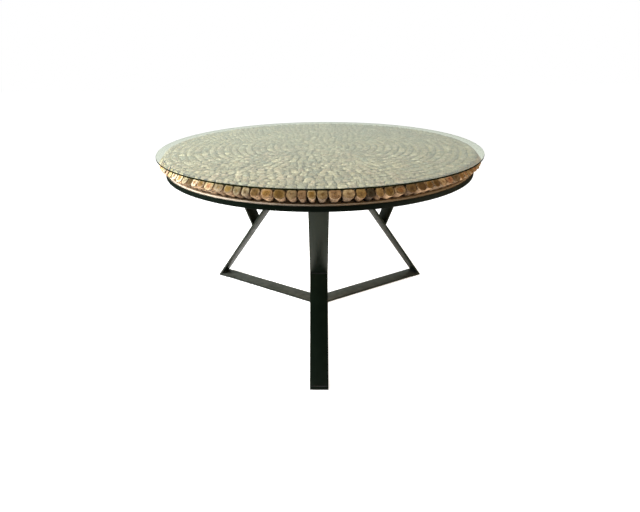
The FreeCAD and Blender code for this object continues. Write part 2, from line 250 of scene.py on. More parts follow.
class Graph:
    """A material's or world's node tree, with short ways to add the nodes that are used here."""

    def __init__(self, name, world=False):
        self.owner = (bpy.data.worlds if world else bpy.data.materials).new(name)
        self.owner.use_nodes = True
        self.tree = self.owner.node_tree
        self.tree.nodes.clear()
        self.output = self.tree.nodes.new(
            "ShaderNodeOutputWorld" if world else "ShaderNodeOutputMaterial"
        )

    def put(self, socket, value):
        if isinstance(value, bpy.types.NodeSocket):
            self.tree.links.new(value, socket)
        elif value is not None:
            socket.default_value = value

    def node(self, kind, inputs=(), **settings):
        made = self.tree.nodes.new(kind)
        for key, value in settings.items():
            setattr(made, key, value)
        for key, value in dict(inputs).items():
            self.put(made.inputs[key], value)
        return made

    def attribute(self, name, output="Vector"):
        return self.node("ShaderNodeAttribute", attribute_name=name).outputs[output]

    def place(self):
        return self.node("ShaderNodeTexCoord").outputs["Object"]

    def parts(self, vector):
        return self.node("ShaderNodeSeparateXYZ", {"Vector": vector}).outputs

    def over_table(self, axis):
        """From 0 at the table's left or front side to 1 at its right or back side."""
        return self.math("MULTIPLY_ADD", self.parts(self.place())[axis], 1 / TINT_SPAN, 0.5)

    def upward(self):
        """How far a face looks up, from -1 to 1."""
        return self.parts(self.node("ShaderNodeNewGeometry").outputs["Normal"])["Z"]

    def whiteness(self, bounced=0.0):
        """1 for rays from the camera, less once they have passed the glass or were scattered."""
        path = self.node("ShaderNodeLightPath").outputs
        through = self.math("MULTIPLY", path["Is Transmission Ray"], SEEN_THROUGH_GLASS)
        scattered = self.math("MULTIPLY", path["Is Diffuse Ray"], bounced)
        return self.math("MAXIMUM", path["Is Camera Ray"], self.math("MAXIMUM", through, scattered))

    def tones(self):
        """Three random numbers of each branch."""
        return self.node("ShaderNodeSeparateColor", {"Color": self.attribute("tone", "Color")}).outputs

    def above(self, a, b, steepness):
        """0 to 1 as a passes b."""
        made = self.math("MULTIPLY_ADD", self.math("SUBTRACT", a, b), steepness, 0.5)
        made.node.use_clamp = True
        return made

    def times(self, colour, by):
        """A colour multiplied by another one."""
        return self.mix(1.0, colour, by, "MULTIPLY")

    def darkened(self, colour, share, by):
        """A colour multiplied by another one, to a share."""
        return self.mix(share, colour, self.times(colour, by))

    def math(self, operation, a, b=None, c=None):
        made = self.node("ShaderNodeMath", operation=operation)
        for socket, value in zip(made.inputs, (a, b, c)):
            self.put(socket, value)
        return made.outputs["Value"]

    def scaled(self, vector, scale):
        made = self.node("ShaderNodeVectorMath", operation="MULTIPLY")
        self.put(made.inputs[0], vector)
        self.put(made.inputs[1], scale)
        return made.outputs["Vector"]

    def noise(self, vector, scale, detail=3.0, roughness=0.55, seed=None):
        made = self.node("ShaderNodeTexNoise", noise_dimensions="3D" if seed is None else "4D")
        self.put(made.inputs["Vector"], vector)
        self.put(made.inputs["Scale"], scale)
        self.put(made.inputs["Detail"], detail)
        self.put(made.inputs["Roughness"], roughness)
        if seed is not None:
            self.put(made.inputs["W"], seed)
        return made.outputs["Fac"]

    def ramp(self, value, stops, smooth=False):
        """A colour or shade for a value. Each stop is (place, shade or colour)."""
        made = self.node("ShaderNodeValToRGB", {"Fac": value})
        made.color_ramp.interpolation = "EASE" if smooth else "LINEAR"
        elements = made.color_ramp.elements
        while len(elements) < len(stops):
            elements.new(1.0)
        for element, (place, shade) in zip(elements, stops):
            element.position = place
            colour = shade if isinstance(shade, tuple) else (shade,) * 3
            element.color = (*colour, 1.0)
        return made.outputs["Color"]

    def mix(self, share, a, b, blend="MIX"):
        made = self.node("ShaderNodeMix", data_type="RGBA", blend_type=blend)
        self.put(made.inputs[0], share)
        self.put(made.inputs[6], a if not isinstance(a, tuple) else (*a, 1.0))
        self.put(made.inputs[7], b if not isinstance(b, tuple) else (*b, 1.0))
        return made.outputs[2]

    def bump(self, height, strength, distance):
        made = self.node("ShaderNodeBump", {"Strength": strength, "Distance": distance})
        self.put(made.inputs["Height"], height)
        return made.outputs["Normal"]

    def surface(self, **inputs):
        """Close the material with one Principled shader."""
        shader = self.node("ShaderNodeBsdfPrincipled")
        for key, value in inputs.items():
            name = key.replace("_", " ")
            self.put(shader.inputs[name], (*value, 1.0) if isinstance(value, tuple) else value)
        self.tree.links.new(shader.outputs[0], self.output.inputs["Surface"])
        return self.owner


# How far noise moves the rings, and the edges of heart and bark as shares of the way out
RING_WANDER, HEART_WANDER, BARK_WANDER = 6 * MM, 0.90, 0.5
# How strongly the finer rings show beside the year rings, and the size of both together
FINE_RING_SHARE, RING_GAIN = 0.35, 0.37
# How far out the heart reaches at least, and how much further it may reach
HEART_LEAST, HEART_SPAN = 0.05, 0.85
# How wide a crack is at the heart, and how fast it narrows outwards
CRACK_WIDTH, CRACK_NARROWING = 0.016, 1.4
# Where the rim of bark begins, as a share of the way out
BARK_FROM = 0.92
# Random numbers from 0 to 1 are stretched to this, so that each branch has noise of its own
SEED_SPAN = 90.0

# A point of a sawn end. tone and seed: the branch's random numbers. flat: its place from the
# heart's middle. out and heading: how far off and in which direction that is. wander: a noise, and
# bent: out with the noise added. way_out: from 0 in the middle of the end to 1 at its edge.
Cut = namedtuple("Cut", "tone seed flat out heading wander bent way_out")


def read_cut(g):
    """Where a point of a sawn end lies."""
    tone = g.tones()
    seed = g.math("MULTIPLY", tone["Red"], SEED_SPAN)
    flat = g.scaled(g.attribute("grain"), (1.0, 1.0, 0.0))
    out = g.node("ShaderNodeVectorMath", {0: flat}, operation="LENGTH").outputs["Value"]
    heading = g.node("ShaderNodeVectorMath", {0: flat}, operation="NORMALIZE").outputs["Vector"]
    wander = g.noise(flat, scale=85.0, seed=seed)
    bent = g.math("MULTIPLY_ADD", wander, RING_WANDER, out)
    return Cut(tone, seed, flat, out, heading, wander, bent, g.attribute("tone", "Alpha"))


def wandering_way(g, cut, wander):
    """The way out, moved in and out by the noise."""
    return g.math("MULTIPLY_ADD", cut.wander, wander, g.math("SUBTRACT", cut.way_out, wander / 2))


def end_rings(g, cut):
    """Year rings and finer rings between them, from 0 to 1."""
    ring, fine_ring = (
        g.math("SINE", g.math("MULTIPLY", cut.bent, 2 * math.pi / pitch))
        for pitch in (YEAR_RING_PITCH, FINE_RING_PITCH)
    )
    both = g.math("MULTIPLY_ADD", fine_ring, FINE_RING_SHARE, ring)
    return g.math("MULTIPLY_ADD", both, RING_GAIN, 0.5)


def end_cracks(g, cut):
    """Drying cracks outwards from the heart's middle, and the pith there."""
    ray = g.noise(cut.heading, scale=2.6, detail=1.0, roughness=0.5, seed=cut.seed)
    off_line = g.math("ABSOLUTE", g.math("SUBTRACT", ray, 0.5))
    width = g.math("SUBTRACT", CRACK_WIDTH, g.math("MULTIPLY", cut.out, CRACK_NARROWING))
    crack = g.math("LESS_THAN", off_line, width)
    pith = g.math("LESS_THAN", cut.bent, PITH_RADIUS)
    return g.math("MAXIMUM", g.math("MULTIPLY", crack, 0.85), g.math("MULTIPLY", pith, 0.7))


def end_wood(g, cut, look):
    """Heart and sapwood, each in one of the branch's own colours."""
    edge = wandering_way(g, cut, HEART_WANDER)
    heart_reach = g.math("MULTIPLY_ADD", cut.tone["Blue"], HEART_SPAN, HEART_LEAST)
    in_heart = g.above(heart_reach, edge, steepness=2.6)
    sapwood = g.ramp(cut.tone["Green"], look.sapwood)
    heart = g.ramp(cut.tone["Blue"], HEARTWOOD)
    return g.mix(g.math("MULTIPLY", in_heart, look.heart_strength), sapwood, heart)


def end_marks(g, cut, look, colour, rings):
    """Rings, stains, specks and pebbling darken the wood, and each branch has its own shade."""
    stain = g.noise(cut.flat, scale=160.0, detail=4.0, roughness=0.6, seed=cut.seed)
    stain = g.ramp(stain, ((0.36, 0.0), (0.68, 1.0)))
    speck = g.noise(cut.flat, scale=210.0, detail=1.0, roughness=0.5, seed=cut.seed)
    speck = g.math("MULTIPLY", g.ramp(speck, ((0.53, 0.0), (0.66, 1.0))), cut.tone["Red"])
    pebble = g.noise(g.place(), scale=look.pebble_scale, detail=2.0, roughness=0.6)
    pebble = g.ramp(pebble, ((0.42, 0.0), (0.58, 1.0)))
    for mark, strength, shade in (
        (rings, look.ring_strength, YEAR_RING),
        (stain, look.stain_strength, STAIN),
        (speck, look.speck_strength, SPECK),
        (pebble, look.pebble_strength, PEBBLE),
    ):
        colour = g.darkened(colour, g.math("MULTIPLY", mark, strength), shade)
    return g.times(colour, g.ramp(cut.tone["Red"], look.shades))


def end_relief(g, cut, rings, cracks):
    """The height of saw marks, rings and cracks."""
    along_saw = g.scaled(cut.flat, (1.0, 0.06, 1.0))
    saw = g.noise(along_saw, scale=2600.0, detail=2.0, roughness=0.5, seed=cut.seed)
    height = g.math("MULTIPLY_ADD", rings, 0.35, g.math("MULTIPLY", saw, 0.5))
    return g.math("SUBTRACT", height, cracks)


def branch_end_material(name, look):
    """Sawn end grain: a brown heart, a pale ring of sapwood, a rim of bark, drying cracks, and painted
    light across the table.
    """
    g = Graph(name)
    cut = read_cut(g)
    rings, cracks = end_rings(g, cut), end_cracks(g, cut)
    colour = end_marks(g, cut, look, end_wood(g, cut, look), rings)
    colour = g.mix(g.math("MULTIPLY", cracks, look.heart_strength), colour, CRACK)
    in_bark = g.above(wandering_way(g, cut, BARK_WANDER), BARK_FROM, steepness=12.0)
    colour = g.mix(g.math("MULTIPLY", in_bark, look.bark_strength), colour, look.bark_rim)
    # Painted light across the table, then a tint from front to back
    for axis, stops in (("X", look.tint_across), ("Y", look.tint_along)):
        colour = g.times(colour, g.ramp(g.over_table(axis), stops))
    return g.surface(
        Base_Color=colour,
        Roughness=0.8,
        Specular_IOR_Level=0.3,
        Normal=g.bump(end_relief(g, cut, rings, cracks), strength=0.75, distance=look.relief),
    )


# How near another branch must be for painted shade on a branch's side
GAP_REACH = 12 * MM
FURROW_DEPTH = 2.2 * MM


def branch_bark_material(name, lightness, gap_shade):
    """Dry bark: long furrows, grey and brown patches, bare wood where it has come off, and painted
    shade where branches stand close.
    """
    g = Graph(name)
    grain = g.attribute("grain")
    tone = g.tones()
    seed = g.math("MULTIPLY", tone["Red"], SEED_SPAN)
    drawn_out = g.scaled(grain, (1.0, 1.0, 0.28))
    furrow = g.noise(drawn_out, scale=420.0, detail=5.0, roughness=0.65, seed=seed)
    patch = g.noise(grain, scale=75.0, seed=seed)
    brown = g.ramp(furrow, BROWN_BARK)
    bark = g.mix(tone["Green"], brown, g.ramp(furrow, GREY_BARK))
    bare_from = g.math("MULTIPLY_ADD", tone["Blue"], -0.24, 0.66)
    bare = g.above(patch, bare_from, steepness=10.0)
    colour = g.mix(bare, bark, g.ramp(furrow, BARE_WOOD))
    colour = g.times(colour, g.ramp(tone["Red"], WEATHERED))
    colour = g.mix(lightness, colour, PALE_BARK)
    # Painted shade in the gaps: the bark's colour darkens where other branches stand close
    gap = g.node("ShaderNodeAmbientOcclusion", {"Distance": GAP_REACH}, samples=4)
    painted_gap_shade = g.ramp(gap.outputs["AO"], ((0.1, gap_shade), (0.75, 1.0)))
    colour = g.times(colour, painted_gap_shade)
    height = g.math("MULTIPLY_ADD", bare, -0.35, furrow)
    return g.surface(
        Base_Color=colour,
        Roughness=0.88,
        Normal=g.bump(height, strength=0.9, distance=FURROW_DEPTH),
    )


# The board's edge from the table's left to its right side: raw wood in painted light and shade,
# lightest left of the middle and darkest towards the right
PAINTED_EDGE_LIGHT_AND_SHADE = (
    (0.0, (0.45, 0.37, 0.29)),
    (0.28, (0.90, 0.74, 0.58)),
    (0.5, (0.66, 0.54, 0.41)),
    (0.75, (0.27, 0.20, 0.13)),
)
BOARD_GRAIN = ((0.3, (0.36, 0.25, 0.15)), (0.7, (0.56, 0.42, 0.28)))
BOARD_BLOTCH = (0.34, 0.24, 0.16)
LAYER_PITCH = 3 * MM


def board_material():
    """Raw sheet of thin layers, with straight grain on its faces, and painted light and shade along
    its edge.
    """
    g = Graph("board_layers")
    place = g.place()
    grain = g.noise(g.scaled(place, (1.0, 0.06, 1.0)), scale=90.0, detail=5.0, roughness=0.6)
    blotch = g.noise(place, scale=7.0)
    wood = g.mix(g.math("MULTIPLY", blotch, 0.5), g.ramp(grain, BOARD_GRAIN), BOARD_BLOTCH)
    layer = g.math("SINE", g.math("MULTIPLY", g.parts(place)["Z"], 2 * math.pi / LAYER_PITCH))
    layers = g.ramp(g.math("MULTIPLY_ADD", layer, 0.5, 0.5), ((0.2, 0.78), (0.6, 1.0)))
    edge_grain = g.ramp(g.noise(place, scale=260.0), ((0.35, 0.82), (0.65, 1.0)))
    # Painted light and shade along the edge, from the table's left to its right side
    painted_edge_light = g.ramp(g.over_table("X"), PAINTED_EDGE_LIGHT_AND_SHADE)
    side = g.times(g.times(painted_edge_light, layers), edge_grain)
    level = g.math("GREATER_THAN", g.math("ABSOLUTE", g.upward()), 0.5)
    return g.surface(
        Base_Color=g.mix(level, side, wood),
        Roughness=0.8,
        Normal=g.bump(grain, strength=0.35, distance=0.6 * MM),
    )


BLACK_COAT = ((0.3, (0.0014, 0.0032, 0.0018)), (0.7, (0.0030, 0.0060, 0.0034)))
# The grey of rubbed edges, and a lighter grey for dust together with painted sheen
RUBBED_IRON, IRON_DUST_AND_SHEEN = (0.07, 0.068, 0.06), (0.050, 0.052, 0.045)
# How much painted sheen lightens upright iron from the table's left to its right side: none on the
# bars, and on the hoop a little at its left and most at its right
NO_PAINTED_SHEEN = ((0.0, 0.0), (1.0, 0.0))
PAINTED_SHEEN_RIGHT = ((0.0, 0.10), (0.35, 0.0), (0.6, 0.02), (0.85, 0.30))


def iron_material(name, shine, painted_sheen_across):
    """Satin black coat over flat bar: faint mottling, a rub to grey along edges, a dusting with
    painted sheen on upward faces, and painted sheen across the table where asked.
    """
    g = Graph(name)
    place = g.place()
    mottle = g.noise(place, scale=14.0, detail=4.0, roughness=0.6)
    speck = g.noise(place, scale=700.0, detail=2.0, roughness=0.5)
    patch = g.noise(place, scale=45.0, detail=4.0, roughness=0.65)
    patch = g.ramp(patch, ((0.42, 0.0), (0.62, 1.0)))
    worn = g.math("MULTIPLY", g.attribute("rubbed", "Fac"), patch)
    colour = g.mix(g.math("MULTIPLY", worn, 0.55), g.ramp(mottle, BLACK_COAT), RUBBED_IRON)
    # Upward faces are lighter: partly dust, partly painted sheen for the light that they catch
    facing_up = g.math("GREATER_THAN", g.upward(), 0.9)
    dust_and_sheen_patches = g.noise(place, scale=30.0, detail=4.0, roughness=0.65)
    dust_and_sheen_patches = g.ramp(dust_and_sheen_patches, ((0.35, 0.5), (0.65, 1.0)))
    # Painted sheen on the hoop, by its place across the table
    across = g.ramp(g.over_table("X"), painted_sheen_across)
    dust_and_painted_sheen = g.math("MULTIPLY", g.math("MAXIMUM", facing_up, across), dust_and_sheen_patches)
    colour = g.mix(dust_and_painted_sheen, colour, IRON_DUST_AND_SHEEN)
    drawn_up = g.scaled(place, (1.0, 1.0, 0.05))
    scratch = g.noise(drawn_up, scale=320.0, detail=2.0, roughness=0.5)
    rough = g.math("MULTIPLY_ADD", mottle, 0.12, g.math("MULTIPLY_ADD", scratch, 0.08, 0.30))
    height = g.math("MULTIPLY_ADD", scratch, 0.4, speck)
    return g.surface(
        Base_Color=colour,
        Roughness=rough,
        Specular_IOR_Level=shine,
        Specular_Tint=(0.90, 1.0, 0.80),
        Normal=g.bump(height, strength=0.18, distance=0.2 * MM),
    )


WELD_COAT = ((0.3, (0.005, 0.006, 0.005)), (0.7, (0.015, 0.016, 0.013)))


def weld_material():
    """The black coat over a weld bead."""
    g = Graph("weld_bead")
    place = g.place()
    return g.surface(
        Base_Color=g.ramp(g.noise(place, scale=90.0), WELD_COAT),
        Roughness=0.38,
        Normal=g.bump(g.noise(place, scale=900.0, detail=2.0), strength=0.3, distance=0.3 * MM),
    )


GLASS_IOR = 1.5
GROUND_GLASS = ((0.3, (0.004, 0.005, 0.0005)), (0.7, (0.010, 0.011, 0.002)))


def clear_material(name, tint, rough):
    """A clear sheet or dot. Light for shadows passes it, as it does the real piece."""
    g = Graph(name)
    shader = g.node(
        "ShaderNodeBsdfPrincipled",
        {
            "Base Color": (*tint, 1.0),
            "Roughness": rough,
            "IOR": GLASS_IOR,
            "Transmission Weight": 1.0,
        },
    )
    smear = g.noise(g.place(), scale=5.0)
    g.put(shader.inputs["Normal"], g.bump(smear, strength=0.02, distance=2 * MM))
    clear = g.node("ShaderNodeBsdfTransparent", {"Color": (*(math.sqrt(t) for t in tint), 1.0)})
    shadow = g.node("ShaderNodeLightPath").outputs["Is Shadow Ray"]
    mixed = g.node("ShaderNodeMixShader", {0: shadow})
    g.tree.links.new(shader.outputs[0], mixed.inputs[1])
    g.tree.links.new(clear.outputs[0], mixed.inputs[2])
    g.tree.links.new(mixed.outputs[0], g.output.inputs["Surface"])
    return g.owner


def glass_edge_material():
    """The ground edge of the sheet, dark green because one looks along the glass."""
    g = Graph("green_glass_edge")
    place = g.place()
    depth = g.noise(g.scaled(place, (1.0, 1.0, 6.0)), scale=22.0)
    return g.surface(
        Base_Color=g.ramp(depth, GROUND_GLASS),
        Roughness=0.2,
        Specular_IOR_Level=0.14,
        Specular_Tint=(1.0, 0.90, 0.5),
    )


def plain_material(name, low, high, scale, rough, depth, metallic=0.0):
    """A small part's finish: a soft change between two colours and a fine grain."""
    g = Graph(name)
    place = g.place()
    return g.surface(
        Base_Color=g.ramp(g.noise(place, scale=scale), ((0.3, low), (0.7, high))),
        Roughness=rough,
        Metallic=metallic,
        Normal=g.bump(g.noise(place, scale=9 * scale, detail=2.0), strength=0.4, distance=depth),
    )


rim_end = branch_end_material("rim_branch_end", RIM_END)
rim_bark = branch_bark_material("rim_branch_bark", lightness=0.0, gap_shade=0.25)
ring_end = branch_end_material("ring_branch_end", RING_END)
ring_bark = branch_bark_material("ring_branch_bark", lightness=0.6, gap_shade=1.0)
board_layers = board_material()
black_iron = iron_material("black_iron", shine=0.36, painted_sheen_across=NO_PAINTED_SHEEN)
hoop_iron = iron_material("hoop_iron", shine=0.06, painted_sheen_across=PAINTED_SHEEN_RIGHT)
weld_bead = weld_material()
clear_glass = clear_material("clear_glass", tint=(0.90, 0.95, 0.80), rough=0.0)
clear_plastic = clear_material("clear_plastic", tint=(0.93, 0.95, 0.90), rough=0.25)
green_edge = glass_edge_material()
rubber = plain_material(
    "foot_rubber",
    low=(0.02, 0.02, 0.02),
    high=(0.045, 0.045, 0.042),
    scale=60.0,
    rough=0.85,
    depth=0.4 * MM,
)
zinc = plain_material(
    "zinc_screw",
    low=(0.42, 0.42, 0.40),
    high=(0.62, 0.61, 0.56),
    scale=400.0,
    rough=0.34,
    depth=0.1 * MM,
    metallic=1.0,
)


# Branch mosaic

FOCUS = fan_focus()
CORNER_MERGE = 0.01 * MM
# How deep knots and swellings are and how far off centre the heart is, as shares of a branch's
# size. How fast swellings follow each other, and how the taper gathers at the lower end.
KNOT_SHARE, OFF_CENTRE_SHARE = 0.05, 0.22
SWELLINGS, TAPER_POWER = 7, 1.4

# sides: corners round a branch. squareness: of an outline's inner and its outer side, 2 being an
# ellipse. shrink: unevenness of the outline. taper: how much thinner the lower end is. dome, fall
# and tilt: how far the cut end drops to all sides, drops outwards and slants, in metres.
# bark_shares: rows up the bark, as shares of its length. cut_shares: rows in across the cut end,
# as shares of the way out from its middle.
Style = namedtuple("Style", "sides squareness shrink taper dome fall tilt bark_shares cut_shares")
RING_STYLE = Style(
    sides=16,
    squareness=(2.6, 2.6),
    shrink=0.08,
    taper=0.0,
    dome=(3.0 * MM, 4.4 * MM),
    fall=(0.2 * MM, 1.2 * MM),
    tilt=1.0 * MM,
    bark_shares=(0.0, 0.70, 0.975),
    cut_shares=(0.96, 0.84, 0.62, 0.36),
)
RIM_STYLE = Style(
    sides=30,
    squareness=(3.0, 2.2),
    shrink=0.06,
    taper=0.34,
    dome=(0.6 * MM, 1.6 * MM),
    fall=(0.0, 0.0),
    tilt=1.3 * MM,
    bark_shares=(0.0, 0.10, 0.22, 0.36, 0.50, 0.65, 0.80, 0.92, 0.985),
    cut_shares=(0.985, 0.93, 0.75, 0.50, 0.26),
)


def branch_ends(node):
    """The corners of each branch's upper end, one array for each separate solid of a node."""
    shape = bmesh.new()
    shape.from_mesh(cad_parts[node].data)
    bmesh.ops.remove_doubles(shape, verts=shape.verts, dist=CORNER_MERGE)
    left = set(shape.verts)
    ends = []
    for vertex in list(shape.verts):
        if vertex not in left:
            continue
        left.discard(vertex)
        found, edge_of = [], [vertex]
        while edge_of:
            here = edge_of.pop()
            found.append(here.co[:])
            for edge in here.link_edges:
                other = edge.other_vert(here)
                if other in left:
                    left.discard(other)
                    edge_of.append(other)
        found = np.array(found)
        ends.append(found[found[:, 2] > board_high + MM])
    shape.free()
    return sorted(ends, key=lambda end: math.atan2(end[:, 1].mean(), end[:, 0].mean()))


def wave(turns, strengths):
    """A random closed wave round a branch, of two to a few humps, between 0 and 1."""
    total = np.zeros(len(turns))
    for humps, strength in enumerate(strengths, start=2):
        total += strength * np.cos(humps * turns + rng.uniform(0, 2 * np.pi))
    return (total / sum(strengths) + 1) / 2


def branch_frame(end, leaning):
    """A branch's middle, its two directions across, its cut's direction and its half sizes."""
    centre = end.mean(0) if leaning else (end.max(0) + end.min(0)) / 2
    angle = math.atan2(centre[1], centre[0])
    along = np.array((-math.sin(angle), math.cos(angle), 0))
    normal = unit(centre - FOCUS) if leaning else np.array((0, 0, 1.0))
    outward = np.cross(along, normal)
    half_width = np.abs((end - centre) @ along).max()
    half_length = np.abs((end - centre) @ outward).max()
    return centre, along, outward, normal, half_width, half_length


def outline(style, turns):
    """How far a branch reaches along each turn: squared off, and uneven by a random wave."""
    x, y = np.abs(np.cos(turns)), np.abs(np.sin(turns))
    squareness = np.where(np.sin(turns) < 0, *style.squareness)
    squared = (x ** squareness + y ** squareness) ** (-1 / squareness)
    return squared * (1 - style.shrink * wave(turns, (3, 2, 1)))


def bark_rings(style, foot, rim, turns, edge_drop, axis):
    """Rings of points up a branch's side, thinner and more knotty towards its foot."""
    rings = []
    knots = wave(turns, (2, 2, 1))
    swell_start = rng.uniform(0, 2 * np.pi)
    for share in style.bark_shares:
        ring = foot + (rim - foot) * share
        thin = style.taper * (1 - share) ** TAPER_POWER
        swelling = 0.5 + 0.5 * math.sin(SWELLINGS * share + swell_start)
        uneven = KNOT_SHARE * (1 - share) * (knots + swelling)
        middle = ring.mean(0)
        ring = middle + (ring - middle) * (1 - thin - uneven)[:, None]
        rings.append(ring - np.outer(edge_drop * max(0.0, 2 * share - 1), axis))
    return rings


def branch(end, leaning):
    """Rings of points of one branch inside its CAD solid, with its grain and its ways out."""
    style = RIM_STYLE if leaning else RING_STYLE
    centre, along, outward, normal, half_width, half_length = branch_frame(end, leaning)
    turns = 2 * np.pi * np.arange(style.sides) / style.sides
    x, y = np.cos(turns), np.sin(turns)
    reach = outline(style, turns)
    local = np.stack((half_width * reach * x, half_length * reach * y), 1)
    rim = centre + np.outer(local[:, 0], along) + np.outer(local[:, 1], outward)
    foot = FOCUS + (rim - FOCUS) * ((board_high - FOCUS[2]) / (rim[:, 2] - FOCUS[2]))[:, None]
    length = np.linalg.norm(rim - foot, axis=1).mean()

    dome, fall = rng.uniform(*style.dome), rng.uniform(*style.fall)
    tilt = rng.uniform(-1, 1, 2) * style.tilt

    def drop(share):
        """How far the sawn end lies below the CAD solid's end, a share of the way out."""
        slant = np.hypot(*tilt) + (tilt[0] * x + tilt[1] * y) * share
        return slant + dome * share ** 3 + fall * ((y * share + 1) / 2) ** 2

    rings = bark_rings(style, foot, rim, turns, drop(1), unit(centre - FOCUS))
    grains = [np.column_stack((local, np.full(style.sides, length * s))) for s in style.bark_shares]
    ways = [np.ones(style.sides)] * len(rings)
    for share in style.cut_shares:
        rings.append(centre + (rim - centre) * share - np.outer(drop(share), normal))
        grains.append(np.column_stack((local * share, np.full(style.sides, length))))
        ways.append(np.full(style.sides, share))
    rings.append((centre - normal * drop(0)[0])[None])
    grains.append(np.array(((0.0, 0.0, length),)))
    ways.append(np.zeros(1))
    grain = np.concatenate(grains)
    off_centre = rng.uniform(-OFF_CENTRE_SHARE, OFF_CENTRE_SHARE, 2)
    grain[:, :2] -= off_centre * (half_width, half_length)
    return np.concatenate(rings), grain, np.concatenate(ways)


def mosaic(name, node, leaning):
    """All the branches of one CAD node as one piece."""
    points, grain, tones, faces, slots = [], [], [], [], []
    style = RIM_STYLE if leaning else RING_STYLE
    sides, bark_rows, cut_rows = style.sides, len(style.bark_shares), len(style.cut_shares)
    rows = bark_rows + cut_rows
    start = 0
    for end in branch_ends(node):
        shape, local, way_out = branch(end, leaning)
        points.append(shape)
        grain.append(local)
        tone = np.repeat(rng.uniform(0, 1, 3)[None], len(shape), 0)
        tones.append(np.concatenate((tone, way_out[:, None]), 1))
        faces.append(tuple(start + sides - 1 - i for i in range(sides)))
        slots.append(0)
        faces.extend(grid_faces(rows, sides, start))
        slots.extend([0] * sides * bark_rows + [1] * sides * (cut_rows - 1))
        tip = start + rows * sides
        last = tip - sides
        faces.extend((last + i, last + (i + 1) % sides, tip) for i in range(sides))
        slots.extend([1] * sides)
        start = tip + 1
    materials = (rim_bark, rim_end) if leaning else (ring_bark, ring_end)
    piece = mesh_object(name, np.concatenate(points), faces, materials, slots, sharp=38)
    data = piece.data.attributes.new("grain", "FLOAT_VECTOR", "POINT").data
    data.foreach_set("vector", np.concatenate(grain).astype(np.float32).ravel())
    data = piece.data.attributes.new("tone", "FLOAT_COLOR", "POINT").data
    data.foreach_set("color", np.concatenate(tones).astype(np.float32).ravel())
    return fit(piece, "branch", node)


for node in sorted(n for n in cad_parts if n.startswith("branch_")):
    mosaic(f"{node}_sticks", node, node == "branch_rim")


# Glass and its pads

GLASS_SIDES, PAD_SIDES = 256, 24
# The softened edge's radius, and the width of the band round the sheet that it belongs to
ARRIS, EDGE_BAND = 0.8 * MM, 3 * MM
# A turned profile starts this far from its axis
AXIS_GAP = 0.1 * MM
# Corners closer than this belong to the same small solid
SOLID_SPAN = 50 * MM


def glass_top():
    """The sheet with ground, softened edges."""
    inner = glass_radius - EDGE_BAND
    corners = (
        (inner, glass_low),
        (glass_radius, glass_low),
        (glass_radius, glass_high),
        (inner, glass_high),
    )
    path = rounded(corners, ARRIS)
    edge = [(inner, glass_low)] + [p for p in path if p[0] > inner + ARRIS] + [(inner, glass_high)]
    vertices, faces = lathe(edge, GLASS_SIDES)
    rows = len(edge)
    slots = [0 if i // GLASS_SIDES in (0, rows - 2) else 1 for i in range(len(faces))]
    faces.append(tuple(range(GLASS_SIDES - 1, -1, -1)))
    faces.append(tuple((rows - 1) * GLASS_SIDES + i for i in range(GLASS_SIDES)))
    slots += [0, 0]
    materials = (clear_glass, green_edge)
    piece = mesh_object("glass_sheet", vertices, faces, materials, slots, sharp=30)
    return fit(piece, "glass", "glass_top")


def islands(node):
    """(lowest, highest) corners of each separate solid of a small node."""
    points = np.unique(np.round(points_of(node), 6), axis=0)
    groups = []
    for point in points:
        for group in groups:
            if np.hypot(*(group[0] - point)[:2]) < SOLID_SPAN:
                group.append(point)
                break
        else:
            groups.append([point])
    return [(np.min(group, 0), np.max(group, 0)) for group in groups]


# A pad's outline as shares of its radius and its height
PAD_SHARES = ((0.97, 0), (1, 0.2), (0.95, 0.6), (0.8, 0.9), (0.6, 1))


def glass_pads():
    """Clear domed dots, flat where the glass lies on them."""
    points, faces = [], []
    for low, high in islands("glass_pads"):
        radius = (high[0] - low[0]) / 2
        middle = (low + high) / 2
        tall = high[2] - low[2]
        profile = [(radius * across, tall * up) for across, up in PAD_SHARES]
        profile = [(AXIS_GAP, 0), *profile, (AXIS_GAP, tall)]
        shape, own = lathe(profile, PAD_SIDES)
        start = sum(len(p) for p in points)
        points.append(shape + (middle[0], middle[1], low[2]))
        faces.extend(tuple(start + i for i in face) for face in own)
    piece = mesh_object("glass_dots", np.concatenate(points), faces, (clear_plastic,))
    return fit(piece, "glass_pad", "glass_pads")


glass_top()
glass_pads()


# Iron base

# How far edges of iron and of the foot pads are rounded, and from what length on
EDGE_ROUND, PAD_EDGE_ROUND = 0.9 * MM, 0.5 * MM
LONG_EDGE = 8 * MM
# Angles in degrees: under which faces are one, and over which an edge is rounded or stays sharp
ONE_FACE, ROUNDED_EDGE, SHARP_EDGE = 1, 25, 50


